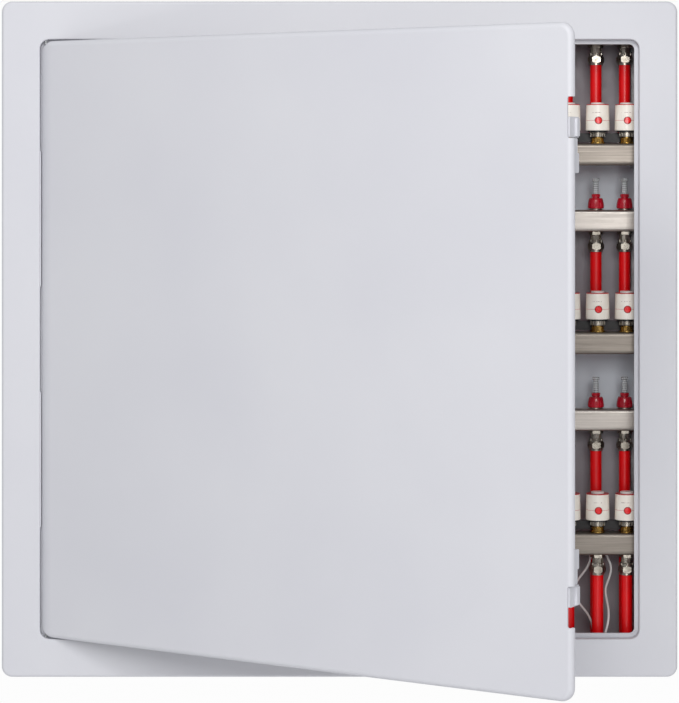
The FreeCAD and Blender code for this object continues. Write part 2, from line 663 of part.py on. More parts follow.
def cabinet_box():
    outer = middle_box("box_outer", BOX_SIZE, BOX_DEPTH, BOX_SIZE, (0, f"-{BOX_DEPTH} / 2", 0))
    room = f"{BOX_SIZE} - 2 * box_skin"
    inner = middle_box("box_inner", room, f"{BOX_DEPTH} - 2 * box_skin", room, (0, f"-{BOX_DEPTH} / 2", 0))
    clear = f"{COLLAR_SIZE} + 2 * box_mouth_gap"
    mouth = middle_box("box_mouth", clear, "10 * box_skin", clear, (0, f"-{BOX_DEPTH}", 0))
    wall_holes = [
        rod(f"wall_hole_{k}", "wall_hole_radius", "4 * box_skin",
            (f"{sx}wall_hole_span / 2", "2 * box_skin", f"{sz}wall_hole_rise / 2"), FORWARD)
        for k, (sx, sz) in enumerate((("", ""), ("-", ""), ("-", "-"), ("", "-")), 1)
    ]
    screw_holes = [
        rod(f"flange_hole_{k}", "screw_radius + fixed_gap", "4 * box_skin",
            (x, f"2 * box_skin - {BOX_DEPTH}", z), FORWARD)
        for k, (x, z) in enumerate(frame_screws(), 1)
    ]
    return cut("cabinet_box", outer, inner, mouth, *wall_holes, *screw_holes, *bottom_openings(),
               rear_pipe_holes("box_pipe_holes"))


def bottom_openings():
    """A slot for the risers in the bottom of the box, and a hole for each pipe and cable gland."""
    low = f"-{BOX_SIZE} / 2 - 6"
    slot = box("riser_slot", "flow_riser_x - return_riser_x + 2 * slot_margin",
               "return_depth - flow_depth + 2 * slot_margin", 12,
               ("return_riser_x - slot_margin", "-return_depth - slot_margin", low))
    row = along("down_holes", rod("down_hole", "pipe_radius + pipe_gap", 12, (0, 0, low)))
    made = [slot] + [copy(f"down_holes_{side}", row, 0, f"-{side}_depth") for side in ("flow", "return")]
    for name, points in (("a", LEAD_A), ("b", LEAD_B)):
        x, depth, _ = points[-1]
        made.append(rod(f"gland_hole_{name}", "gland_radius + fixed_gap", 12, (x, -depth, low)))
    return made


def rear_pipe_holes(name):
    """Tools for the holes of the upper and middle tiers' pipes in the back of the box."""
    row = along(f"{name}_row", rod(f"{name}_hole", "pipe_radius + pipe_gap", 12, (0, 6, 0), FORWARD))
    return group(name, *(copy(f"{name}_{t}_{rise}", row, 0, 0, f"{return_z(t)} + {rise}")
                         for t in ("upper", "middle") for rise in (0, "bend_exit")))


def mounting_plates():
    left = "header_left - 24"
    width = f"{BOX_SIZE} / 2 - box_skin - 2 - ({left})"
    bottoms = {t: f"({return_z(t)} - 18)" for t in METER_TIERS + TIERS[:1]}
    bottoms["lower"] = "plate_low"
    plates = []
    holes = rear_pipe_holes("plate_pipe_holes")
    for t in TIERS:
        plate = box(f"plate_{t}", width, "plate_skin", f"{flow_z(t)} - {bottoms[t]}",
                    (left, "-box_skin - plate_skin", bottoms[t]))
        plates.append(cut(f"mounting_plate_{t}", plate, holes))
    return group("mounting_plates", *plates)


# ---------------------------------------------------------------- headers


def header(name, outlet):
    """A header bar along X about its own axis, from the left end to the right, with ports for each circuit."""
    body = new_body(name)
    section = sketch_on(body, f"{name}_section", "YZ_Plane", "header_left")
    rounded(section, "header_width", "header_height", "header_corner")
    rounded(section, "header_width - 2 * header_skin", "header_height - 2 * header_skin",
            "header_corner - header_skin")
    feature(body, "Pad", f"{name}_bar", section, "header_right - header_left")
    ports = {
        "top": ("XY_Plane", "header_height / 2 + 1", False, lambda k: (circuit_x(k), 0)),
        "bottom": ("XY_Plane", "-header_height / 2 - 1", True, lambda k: (circuit_x(k), 0)),
        "back": ("XZ_Plane", "-header_width / 2 - 1", True, lambda k: (circuit_x(k), 0)),
    }
    for side in ("top", outlet):
        role, offset, reverse, spot = ports[side]
        sketch = sketch_on(body, f"{name}_{side}_ports", role, offset)
        for k in range(CIRCUITS):
            disc(sketch, *spot(k), "port_radius")
        feature(body, "Pocket", f"{name}_{side}_port", sketch, "header_skin + 2", reverse=reverse)
    return body


def flow_headers():
    bar = header("flow_bar", "bottom")
    return group("flow_headers", *(
        copy(f"flow_header_{t}", bar, 0, "-flow_depth", flow_z(t)) for t in TIERS
    ))


def return_headers():
    rear = header("return_bar_rear", "back")
    low = header("return_bar_low", "bottom")
    return group("return_headers", *(
        copy(f"return_header_{t}", low if t == "lower" else rear, 0, "-return_depth", return_z(t))
        for t in TIERS
    ))


def each_header(name, source):
    """One copy on the left end or right end datum of all six headers."""
    return [copy(f"{name}_{side}_{t}", source, 0, f"-{side}_depth", z(t))
            for side, z in (("flow", flow_z), ("return", return_z)) for t in TIERS]


def header_end_fittings():
    """A screwed plug at the right end and a union nut at the left end of every header."""
    plug = fuse(
        "end_plug",
        rod("plug_spigot", "header_width / 2 - header_skin - fixed_gap", "plug_length + 1",
            ("header_right - plug_length", 0, 0), SIDEWAYS),
        middle_box("plug_plate", "3", "header_width", "header_height", ("header_right + 1.5", 0, 0)),
        prism("plug_hexagon", 6, "plug_radius - 3", "plug_length - 2", ("header_right + 2", 0, 0), SIDEWAYS),
    )
    nut = prism("union_hexagon", 6, "union_radius", "union_length",
                ("header_left - union_length", 0, 0), SIDEWAYS)
    nut = cut("union_nut", nut, rod("union_bore", "riser_radius + fixed_gap", "union_length + 2",
                                    ("header_left - union_length - 1", 0, 0), SIDEWAYS))
    return group("header_end_fittings", *each_header("plug", plug), *each_header("union", nut))


def risers():
    """A flow and a return riser with a branch to every header, and a tail below each main valve."""
    made = []
    for side, z in (("flow", flow_z), ("return", return_z)):
        x, depth = f"{side}_riser_x", f"-{side}_depth"
        low = "main_valve_z + main_valve_length / 2 - 8"
        solid = [rod(f"{side}_riser_pipe", "riser_radius", f"riser_top - ({low})", (x, depth, low))]
        bores = [rod(f"{side}_riser_bore", "riser_bore", f"riser_top - 3 - ({low}) + 1", (x, depth, f"{low} - 1"))]
        for t in TIERS:
            reach = f"header_left - {x}"
            solid.append(rod(f"{side}_branch_{t}", "riser_radius", f"{reach} - 0.2", (x, depth, z(t)), SIDEWAYS))
            bores.append(rod(f"{side}_branch_bore_{t}", "riser_bore", f"{reach} + 1", (x, depth, z(t)), SIDEWAYS))
        made.append(cut(f"{side}_riser", fuse(f"{side}_riser_solid", *solid), *bores))
        tail_top = "(main_valve_z - main_valve_length / 2)"
        made.append(cut(
            f"{side}_tail",
            rod(f"{side}_tail_pipe", "riser_radius", f"{tail_top} - pipe_low", (x, depth, "pipe_low")),
            rod(f"{side}_tail_bore", "riser_bore", f"{tail_top} - pipe_low + 2", (x, depth, "pipe_low - 1")),
        ))
    return group("risers", *made)


def main_valve_body():
    """Body of a ball valve about the ball's centre, its spindle towards the door."""
    half = "main_valve_length / 2"
    solid = fuse(
        "valve_body_solid",
        rod("valve_barrel", "main_valve_radius", "main_valve_length - 32", (0, 0, f"16 - {half}")),
        prism("valve_end_low", 8, "main_valve_radius", "17", (0, 0, f"-{half}")),
        prism("valve_end_high", 8, "main_valve_radius", "17", (0, 0, f"{half} - 17")),
        rod("valve_bonnet", "bonnet_radius", "bonnet_reach", (0, 0, 0), FORWARD),
    )
    return cut(
        "valve_body", solid,
        rod("valve_high_socket", "riser_radius + fixed_gap", "9", (0, 0, f"{half} - 8")),
        rod("valve_way", "main_bore", "main_valve_length + 2", (0, 0, f"-{half} - 1")),
        ball_seat(),
        rod("spindle_bore", "spindle_radius + running_gap", "bonnet_reach + 2", (0, 0, 0), FORWARD),
    )


def ball_seat():
    seat = doc.addObject("Part::Sphere", "ball_seat")
    return bind(seat, Radius="ball_radius + running_gap")


def main_valve_ball():
    ball = bind(doc.addObject("Part::Sphere", "ball_blank"), Radius="ball_radius")
    spindle = rod("ball_spindle", "spindle_radius", "bonnet_reach + 2 - running_gap", (0, 0, 0), FORWARD)
    way = rod("ball_way", "main_bore", "4 * ball_radius", (0, 0, "-2 * ball_radius"))
    return cut("valve_ball", fuse("ball_and_spindle", ball, spindle), way)


def main_valve_handle():
    """Butterfly handle, upright when the valve is open."""
    body = new_body("butterfly")
    front = "(bonnet_reach + 1)"
    wings = sketch_on(body, "wing_outline", "XZ_Plane", front)
    rounded(wings, "handle_width", "handle_span", "handle_width / 3")
    feature(body, "Pad", "wings", wings, "handle_thick")
    face = -amount(f"{front} + handle_thick")
    round_edges(body, "wing_edge", "1.5",
                lambda e: abs(e.BoundBox.YMin - face) < 0.01 and abs(e.BoundBox.YMax - face) < 0.01)
    hub = sketch_on(body, "hub_outline", "XZ_Plane", front)
    disc(hub, 0, 0, "hub_radius")
    feature(body, "Pad", "hub", hub, "handle_thick + 3")
    bore = sketch_on(body, "handle_bore", "XZ_Plane", front)
    disc(bore, 0, 0, "spindle_radius + fixed_gap")
    feature(body, "Pocket", "handle_bore_cut", bore, "2", reverse=True)
    return body


# ---------------------------------------------------------------- flow valves and flow meters


def flow_meter_base():
    """Nickelled valve body in the header's top; zero height is the header's top."""
    return turned("meter_base", [
        ("tube_bore - 0.5", "-spigot_length"), ("spigot_radius", "-spigot_length"), ("spigot_radius", 0),
        ("port_radius + 2.5", 0), ("port_radius + 2.5", "meter_flange"), ("spigot_radius", "meter_flange"),
        ("spigot_radius", "meter_flange + 6"), ("tube_radius + fixed_gap", "meter_flange + 6"),
        ("tube_radius + fixed_gap", "meter_flange + 1"), ("tube_bore - 0.5", "meter_flange + 1"),
    ])


def flow_collar():
    """Red setting collar, with finger grooves and a notched neck."""
    low = "meter_flange + 0.3"
    shoulder = f"({low} + collar_height)"
    top = f"({shoulder} + neck_height)"
    bore = "tube_radius + running_gap"
    wide = "spigot_radius + running_gap"
    body = turned("setting_collar", [
        (bore, "meter_flange + 6.5"), (wide, "meter_flange + 6.5"), (wide, low),
        ("collar_low_radius - 1", low), ("collar_low_radius", f"{low} + 1"),
        ("collar_low_radius", f"{low} + 3"), ("collar_low_radius - 0.6", f"{low} + 9"),
        ("collar_high_radius + 0.5", f"{shoulder} - 3"), ("collar_high_radius - 1", shoulder),
        ("neck_radius - 1.2", shoulder), ("neck_radius - 1.2", f"{shoulder} + 1.5"),
        ("neck_radius", f"{shoulder} + 1.5"), ("neck_radius", f"{top} - 0.6"), ("neck_radius - 0.6", top),
        (bore, top),
    ])
    notched(body, "collar", 12, "collar_low_radius + 0.6", "1.7", f"{low} + 3", "collar_height")
    return notched(body, "neck", 8, "neck_radius + 0.2", "1.2", f"{shoulder} + 2.5", "neck_height")


def sight_tube():
    """Clear tube of the flow meter, closed at its head."""
    foot = "(meter_flange + 1)"
    return turned("clear_tube", [
        ("tube_bore", foot), ("tube_radius", foot), ("tube_radius", "meter_height - tube_head - 1"),
        ("tube_head_radius", "meter_height - tube_head"), ("tube_head_radius", "meter_height - 0.8"),
        ("tube_head_radius - 0.8", "meter_height"), (0, "meter_height"), (0, "meter_height - 2.5"),
        ("tube_bore", "meter_height - 2.5"),
    ])


def flow_indicator():
    """Disc and stem that move down in the sight tube as the flow rises."""
    top = "(meter_height - 3)"
    return turned("indicator", [
        (0, "meter_flange + 2 + float_travel"), ("float_stem", "meter_flange + 2 + float_travel"),
        ("float_stem", f"{top} - 3.5"), ("float_radius", f"{top} - 3.5"), ("float_radius", top), (0, top),
    ])


def lockshield_cap():
    """Low ribbed cap where there's no room for a flow meter."""
    low, inside = "(meter_flange + 0.2)", "spigot_radius + fixed_gap"
    body = turned("lockshield", [
        (inside, low), ("collar_high_radius", low), ("collar_high_radius - 0.8", "lockshield_height - 1"),
        ("collar_high_radius - 1.8", "lockshield_height"), (0, "lockshield_height"),
        (0, "lockshield_height - 2"), (inside, "lockshield_height - 2"),
    ])
    return notched(body, "lockshield", 16, "collar_high_radius + 0.4", "1", "meter_flange + 2", "lockshield_height")


# ---------------------------------------------------------------- return valves and actuators


def return_valve_body():
    """Brass valve insert; zero height is the header's top."""
    hexes = prism("valve_facets", 12, "valve_hex_radius", "valve_hex_height")
    foot = rod("valve_foot", "valve_hex_radius + 2", "2")
    neck = rod("valve_neck", "valve_neck_radius", "actuator_low - base_height - 0.3")
    spigot = rod("valve_spigot", "spigot_radius", "spigot_length", (0, 0, "-spigot_length"))
    bore = rod("valve_stem_bore", "stem_radius + running_gap", "actuator_low + spigot_length + 2",
               (0, 0, "-spigot_length - 1"))
    return cut("return_valve", fuse("return_valve_solid", hexes, foot, neck, spigot), bore)


def actuator_ring():
    high = "ring_low + ring_height"
    bore = "valve_neck_radius + fixed_gap"
    return notched(turned("knurled_ring", [
        (bore, "ring_low"), ("ring_radius - 0.8", "ring_low"), ("ring_radius", "ring_low + 0.8"),
        ("ring_radius", f"{high} - 0.8"), ("ring_radius - 0.8", high), (bore, high),
    ]), "ring", 14, "ring_radius + 0.3", "1.3", "ring_low + 1.2", "ring_height - 2.4")


def actuator_base():
    return turned("base_disc", [
        ("stem_radius + 1", "actuator_low - base_height"), ("base_radius", "actuator_low - base_height"),
        ("base_radius", "actuator_low"), ("stem_radius + 1", "actuator_low"),
    ])


def actuator_shell():
    """Tapered white housing, open below and where the display stands."""
    top = "(actuator_low + actuator_height)"
    body = turned("actuator_housing", [
        ("base_radius - 1", "actuator_low"), ("actuator_low_radius", "actuator_low"),
        ("actuator_high_radius", top), ("display_radius + running_gap + 0.2", top),
        ("display_radius + running_gap + 0.2", f"{top} - actuator_skin"),
        ("actuator_high_radius - actuator_skin", f"{top} - actuator_skin"),
        ("actuator_low_radius - actuator_skin", "actuator_low + actuator_skin"),
        ("base_radius - 1", "actuator_low + actuator_skin"),
    ])
    low = amount("actuator_low")
    round_edges(body, "actuator_foot_edge", "1.5",
                lambda e: abs(e.BoundBox.ZMax - low) < 0.01 and e.BoundBox.XMax > amount("base_radius"))
    return cut("actuator_shell", body, lens_disc("lens_seat", "lens_radius + fixed_gap", "lens_skin", "2"))


def lens_disc(name, radius, depth, rise):
    """A round piece of a tapered ring that follows the shell's side, on its front."""
    high = "(actuator_low + actuator_height)"
    ring = turned(f"{name}_ring", [
        (f"actuator_low_radius - ({depth})", "actuator_low"), (f"actuator_low_radius + {rise}", "actuator_low"),
        (f"actuator_high_radius + {rise}", high), (f"actuator_high_radius - ({depth})", high),
    ])
    stub = rod(f"{name}_stub", radius, "2 * actuator_low_radius", (0, 0, "actuator_low + lens_height"), FORWARD)
    return common(name, ring, stub)


def actuator_lens():
    """Round red mark let into the front of the shell."""
    return lens_disc("lens_disc", "lens_radius", "lens_skin - fixed_gap", "lens_rise")


def actuator_cap():
    top = "(actuator_low + actuator_height)"
    return turned("coloured_top", [
        ("display_radius + running_gap + 0.2", top), ("cap_radius", top), ("cap_radius", f"{top} + cap_height - 0.5"),
        ("cap_radius - 0.5", f"{top} + cap_height"), ("display_radius + running_gap + 0.2", f"{top} + cap_height"),
    ])


def function_display():
    """Disc that rises out of the actuator's top as it opens."""
    top = "(actuator_low + actuator_height + cap_height + display_height)"
    return turned("display_disc", [
        (0, f"{top} - display_height - 8"), ("display_radius", f"{top} - display_height - 8"),
        ("display_radius", f"{top} - 0.8"), ("display_radius - 0.8", top), (0, top),
    ])


def valve_stem():
    """Stem and disc of the return valve; it rises off its seat when the actuator opens."""
    low = "(-header_height + header_skin + 1.5)"
    return turned("stem_and_disc", [
        (0, low), ("disc_radius", low), ("disc_radius", f"{low} + 4"), ("stem_radius - 0.6", f"{low} + 6"),
        ("stem_radius - 0.6", "-spigot_length - 2"), ("stem_radius", "-spigot_length - 1"),
        ("stem_radius", "actuator_low + 6"), (0, "actuator_low + 6"),
    ])


# ---------------------------------------------------------------- outlets and pipes


def outlet_adapter():
    """Nickelled adapter that hangs below a header; zero height is the header's face."""
    hexes = prism("adapter_flange", 6, "flange_radius", "flange_height", (0, 0, "-flange_height"))
    waist = prism("adapter_waist", 12, "waist_radius", "crown_low", (0, 0, "-crown_low"))
    spigot = rod("adapter_spigot", "spigot_radius", "spigot_length")
    crown = notched(turned("crown", [
        ("adapter_bore + 1", "-crown_low"), ("crown_radius", "-crown_low"),
        ("crown_radius", "crown_height - crown_low - 1"), ("crown_radius - 1", "crown_height - crown_low"),
        ("adapter_bore + 1", "crown_height - crown_low"),
    ]), "crown", 8, "crown_radius + 0.5", "2", "2 - crown_low", "crown_height")
    way = rod("adapter_way", "adapter_bore", "crown_low + spigot_length + 2", (0, 0, "-crown_low - 1"))
    return cut("adapter", fuse("adapter_solid", hexes, waist, spigot, crown), way)


def adapter_nut():
    low = "(-crown_low - nut_length)"
    hexes = prism("nut_hexagon", 6, "nut_radius", "nut_length - 0.1", (0, 0, low))
    bevel = fuse("nut_bevels", cone("nut_bevel_low", "nut_radius - 1.6", "nut_radius + 3.4", "5", (0, 0, low)),
                 rod("nut_bevel_mid", "nut_radius + 3.4", "nut_length - 9", (0, 0, f"{low} + 4.5")),
                 cone("nut_bevel_high", "nut_radius + 3.4", "nut_radius - 1.6", "5", (0, 0, "-crown_low - 5")))
    skirt = rod("nut_skirt_ring", "skirt_radius", "nut_skirt", (0, 0, f"{low} - nut_skirt"))
    pipe_way = rod("nut_pipe_way", "pipe_radius + fixed_gap", "nut_length + nut_skirt + 1 + crown_low - pipe_entry",
                   (0, 0, f"{low} - nut_skirt - 1"))
    way = fuse("nut_way", pipe_way, rod("nut_bore", "pipe_bore", "60", (0, 0, "-crown_low - 40")))
    return cut("nut", fuse("nut_solid", common("nut_bevelled", hexes, bevel), skirt), way)


def tube(name, outer, bore, length, at, turn=None):
    return cut(name, rod(f"{name}_outside", outer, length, at, turn), rod(f"{name}_inside", bore, length, at, turn))


def bent_pipe():
    """Flow pipe of the upper tiers, which goes down behind the actuator and into the wall.

    Zero height is the flow header's axis.
    """
    exit_z = "(bend_exit - header_spacing)"
    top = "(-header_height / 2 - pipe_entry)"
    bend_z = f"({exit_z} + bend_radius)"
    exit_depth = "(flow_depth - bend_radius)"
    made = []
    for part, radius in (("outside", "pipe_radius"), ("inside", "pipe_bore")):
        drop = rod(f"bent_{part}_drop", radius, f"{top} - {bend_z}", (0, 0, bend_z))
        ring = doc.addObject("Part::Torus", f"bent_{part}_ring")
        bind(ring, Radius1="bend_radius", Radius2=radius)
        ring.Angle3 = 90
        ring.Placement = FreeCAD.Placement(FreeCAD.Vector(), FreeCAD.Rotation(
            FreeCAD.Vector(0, -1, 0), FreeCAD.Vector(0, 0, -1), FreeCAD.Vector(1, 0, 0), "XYZ"))
        ring.setExpression("Placement.Base.y", formula("bend_radius"))
        ring.setExpression("Placement.Base.z", formula(bend_z))
        out = rod(f"bent_{part}_exit", radius, exit_depth, (0, "bend_radius", exit_z), BACKWARD)
        made.append(fuse(f"bent_{part}", drop, ring, out))
    return cut("bent_pipe", *made)


def flow_pipes():
    bent = along("bent_pipes", bent_pipe())
    top = "(lower_flow - header_height / 2 - pipe_entry)"
    straight = along("straight_flow_pipes", tube("straight_flow_pipe", "pipe_radius", "pipe_bore",
                                                 f"{top} - pipe_low", (0, "-flow_depth", "pipe_low")))
    return group("flow_pipes", copy("bent_upper", bent, 0, "-flow_depth", "upper_flow"),
                 copy("bent_middle", bent, 0, "-flow_depth", "middle_flow"), straight)


def return_pipes():
    start = "(return_depth - header_width / 2 - pipe_entry)"
    rear = along("rear_pipes", tube("rear_pipe", "pipe_radius", "pipe_bore", start, (0, f"-{start}", 0), BACKWARD))
    top = f"({return_z('lower')} - header_height / 2 - pipe_entry)"
    straight = along("straight_return_pipes", tube("straight_return_pipe", "pipe_radius", "pipe_bore",
                                                   f"{top} - pipe_low", (0, "-return_depth", "pipe_low")))
    return group("return_pipes", copy("rear_upper", rear, 0, 0, return_z("upper")),
                 copy("rear_middle", rear, 0, 0, return_z("middle")), straight)


def outlets(name, source):
    """The piece below each flow header and the lower return header, and behind the other return headers."""
    row = along(f"{name}_row", source)
    rear = copy(f"{name}_rear", row, 0, 0, 0, (1, 0, 0), 90)
    return group(
        name,
        on_flow(f"{name}_flow", row, TIERS, "-header_height / 2"),
        on_return(f"{name}_low", row, ("lower",), "-header_height / 2"),
        *(copy(f"{name}_rear_{t}", rear, 0, "header_width / 2 - return_depth", return_z(t))
          for t in ("upper", "middle")),
    )


# ---------------------------------------------------------------- brackets, screws and electrics


def uprights():
    """Uprights on the wall with an arm to each header, at both ends of every tier."""
    made = []
    for t in TIERS:
        for end, x in bracket_ends():
            low, high = f"({return_z(t)} - 24)", f"({flow_z(t)} + 22)"
            left = f"{x} - bracket_width / 2"
            base = "(box_skin + plate_skin)"
            upright = box(f"upright_{end}_{t}", "bracket_width", "bracket_back", f"{high} - {low}",
                          (left, f"-{base} - bracket_back", low))
            arms = []
            for side, z in (("flow", flow_z(t)), ("return", return_z(t))):
                reach = f"({side}_depth - header_width / 2 - strap_gap - {base})"
                arms.append(box(f"arm_{side}_{end}_{t}", "bracket_width", reach, "header_height + 2 * strap_gap",
                                (left, f"-{base} - {reach}", f"{z} - header_height / 2 - strap_gap")))
            made.append(fuse(f"bracket_{end}_{t}", upright, *arms))
    return group("bracket_uprights", *made)


def bracket_ends():
    return (("left", "(header_left + bracket_inset + 2)"), ("right", "(header_right - bracket_inset)"))


def header_strap():
    """U-shaped strap round the front of a header, its legs gripping the bracket's arm."""
    body = new_body("strap")
    section = sketch_on(body, "strap_section", "YZ_Plane", "-bracket_width / 2")
    tall, deep = "header_height + 2 * strap_gap", "header_width + 2 * strap_gap"
    rounded(section, f"{deep} + 2 * strap_leg + 2 * strap_skin", f"{tall} + 2 * strap_skin",
            "header_corner + strap_gap + strap_skin", "strap_leg")
    feature(body, "Pad", "strap_band", section, "bracket_width")
    inside = sketch_on(body, "strap_inside", "YZ_Plane", "-bracket_width / 2")
    rounded(inside, f"{deep} + 4 * strap_leg", tall, "header_corner + strap_gap",
            "2 * strap_leg")
    feature(body, "Pocket", "strap_inside_cut", inside, "bracket_width", reverse=True)
    open_end = sketch_on(body, "strap_open_end", "XZ_Plane", "-header_width / 2 - strap_leg")
    rectangle(open_end, "0.01", "0.01", "bracket_width + 2", "header_height * 2")
    feature(body, "Pocket", "strap_open_end_cut", open_end, "20")
    return body


def header_straps():
    strap = header_strap()
    return group("header_straps", *(
        copy(f"strap_{side}_{end}_{t}", strap, x, f"-{side}_depth", z(t))
        for side, z in (("flow", flow_z), ("return", return_z)) for end, x in bracket_ends() for t in TIERS
    ))


def fixing_screws():
    """Frame screws through the box's flange, and cover screws of the wiring centres."""
    screw = fuse("screw", rod("screw_shank", "screw_radius", "screw_length"),
                 cut("screw_drilled_head",
                     rod("screw_head", "screw_head_radius", "screw_head_height", (0, 0, "-screw_head_height")),
                     prism("screw_drive", 6, "1.6", "1.5", (0, 0, "-screw_head_height - 0.1"))))
    made = [copy(f"frame_screw_{k}", screw, x, f"box_skin - {BOX_DEPTH}", z, (1, 0, 0), 90)
            for k, (x, z) in enumerate(frame_screws(), 1)]
    for t in TIERS:
        for k, sx in enumerate(("-", "+"), 1):
            made.append(copy(f"cover_screw_{t}_{k}", screw, f"centre_x {sx} (centre_length / 2 - 12)",
                             "-box_skin - centre_depth - fixed_gap", f"{return_z(t)} + centre_rise", (1, 0, 0), -90))
    return group("fixing_screws", *made)


def wiring_centre(tier):
    """Closed plastic case for the tier's actuator cables, with a row of cable entries below."""
    body = new_body(f"centre_{tier}")
    back = sketch_on(body, f"centre_back_{tier}", "XZ_Plane", "box_skin")
    rounded(back, "centre_length", "centre_height", "6", "centre_x", f"{return_z(tier)} + centre_rise")
    feature(body, "Pad", f"centre_case_{tier}", back, "centre_depth")
    front = amount("-box_skin - centre_depth")
    round_edges(body, f"centre_edge_{tier}", "3",
                lambda e: abs(e.BoundBox.YMin - front) < 0.01 and abs(e.BoundBox.YMax - front) < 0.01)
    room = sketch_on(body, f"centre_room_{tier}", "XZ_Plane", "box_skin")
    rounded(room, "centre_length - 6", "centre_height - 6", "3", "centre_x", f"{return_z(tier)} + centre_rise")
    feature(body, "Pocket", f"centre_room_cut_{tier}", room, "centre_depth - 3", reverse=True)
    seam = sketch_on(body, f"centre_seam_{tier}", "XZ_Plane", "box_skin + centre_depth + 1")
    rectangle(seam, "centre_x", f"{return_z(tier)} + centre_rise - 16", "centre_length - 30", "1.4")
    feature(body, "Pocket", f"centre_seam_cut_{tier}", seam, "1.8")
    screws = sketch_on(body, f"centre_screws_{tier}", "XZ_Plane", "box_skin + centre_depth + 1")
    for sx in ("-", "+"):
        disc(screws, f"centre_x {sx} (centre_length / 2 - 12)", f"{return_z(tier)} + centre_rise",
             "screw_radius + fixed_gap")
    feature(body, "Pocket", f"centre_screw_holes_{tier}", screws, "screw_length + 2")
    return body


def actuator_cable():
    """Short cable from the foot of an actuator into the duct behind it. Zero height is the header's top."""
    return rod("cable", "cable_radius", "actuator_low - 4", ("cable_x", "cable_back", 4))


def cable_duct(tier):
    """Hollow duct behind the actuators and between the risers, then back to the wiring centre."""
    z, front = f"({return_z(tier)} + duct_low)", "(duct_back + duct_width)"
    end = "(centre_x + centre_length / 2)"
    parts = []
    for name, skin in (("outside", "0"), ("inside", "duct_skin")):
        run = box(f"duct_{name}_run_{tier}", f"header_right - {end} - 2 * {skin}", f"duct_width - 2 * {skin}",
                  f"duct_height - 2 * {skin}", (f"{end} + {skin}", f"{skin} - {front}", f"{z} + {skin}"))
        leg = box(f"duct_{name}_leg_{tier}", f"duct_width - 2 * {skin}", f"{front} - 20 - 2 * {skin}",
                  f"duct_height - 2 * {skin}", (f"{end} + {skin}", f"{skin} - {front}", f"{z} + {skin}"))
        parts.append(fuse(f"duct_{name}_{tier}", run, leg))
    hole = rod(f"duct_hole_{tier}", "cable_radius + fixed_gap", "4 * duct_skin", ("cable_x", 0, 0))
    row = copy(f"duct_holes_{tier}", along(f"duct_hole_row_{tier}", hole), 0, "cable_back - return_depth",
               f"{z} + duct_height - 2 * duct_skin")
    return cut(f"cable_duct_{tier}", parts[0], parts[1], row)


def rounded_route(points, radius):
    """Wire through points (x, depth, z): straight runs joined by tangent arcs, each as large as its runs allow."""
    spots = [FreeCAD.Vector(x, -depth, z) for x, depth, z in points]
    edges, here, radii = [], spots[0], []
    for before, at, after in zip(spots, spots[1:], spots[2:]):
        towards, onwards = (at - before), (after - at)
        shorter = min(towards.Length, onwards.Length)
        turn = towards.getAngle(onwards)
        arc_radius = 0.45 * shorter / math.tan(turn / 2)
        radii.append(arc_radius / (2 * radius))
        start = at - towards.normalize() * (0.45 * shorter)
        end = at + onwards.normalize() * (0.45 * shorter)
        inward = (onwards - towards).normalize()
        middle = at + inward * (arc_radius / math.cos(turn / 2) - arc_radius)
        edges.append(Part.LineSegment(here, start).toShape())
        edges.append(Part.Arc(start, middle, end).toShape())
        here = end
    edges.append(Part.LineSegment(here, spots[-1]).toShape())
    wire = Part.Wire(edges)
    print(f"route of {wire.Length:.0f} mm, radii in diameters: {', '.join(f'{r:.1f}' for r in radii)}")
    return wire


# Slack leads of the lower tier: (x, depth in front of the wall, height), from the cable duct behind
# the return header to a gland in the bottom of the box.
LEAD_A = [(450, 78, -335), (450, 78, -346), (454, 74.5, -366), (463, 75, -384), (470.5, 77, -402),
          (465, 81, -420), (458, 83, -437), (460, 87, -453), (463, 100, -470), (462, 110, -487),
          (457, 115, -505), (450, 116, -524), (446, 116, -545), (446, 116, -560)]
LEAD_B = [(436, 78, -335), (436, 78, -346), (435.5, 74.5, -371), (431, 74, -399), (416, 73, -417),
          (403, 74, -436), (407, 76, -456), (421, 78, -472), (433, 79, -488), (438, 79, -510),
          (439, 79.5, -530), (438, 79, -545), (438, 79, -560)]


def lead_glands():
    """A cable gland in the bottom of the box at the end of each slack lead."""
    made = []
    for name, points in (("a", LEAD_A), ("b", LEAD_B)):
        x, depth, end = points[-1]
        spot = (x, -depth, "pipe_low")
        solid = fuse(f"gland_solid_{name}", rod(f"gland_stem_{name}", "gland_radius", f"{end} + 3 - pipe_low", spot),
                     rod(f"gland_flange_{name}", "gland_radius + 2", "2",
                         (x, -depth, f"box_skin - {BOX_SIZE} / 2")))
        made.append(cut(f"gland_{name}", solid,
                        rod(f"gland_bore_{name}", "lead_radius + fixed_gap", "10", (x, -depth, end))))
    return made


def slack_lead(name, points):
    radius = amount("lead_radius")
    wire = rounded_route(points, radius)
    start = FreeCAD.Vector(points[0][0], -points[0][1], points[0][2])
    direction = FreeCAD.Vector(points[1][0], -points[1][1], points[1][2]) - start
    ring = Part.Wire(Part.makeCircle(radius, start, direction))
    solid = Part.Wire(wire).makePipeShell([ring], True, True)
    expected = math.pi * radius**2 * wire.Length
    if not 0.98 < solid.Volume / expected < 1.02:
        raise ValueError(f"{name}: the tube's volume isn't its section times its length")
    thing = doc.addObject("Part::Feature", name)
    thing.Shape = solid
    return thing


# ---------------------------------------------------------------- assembly


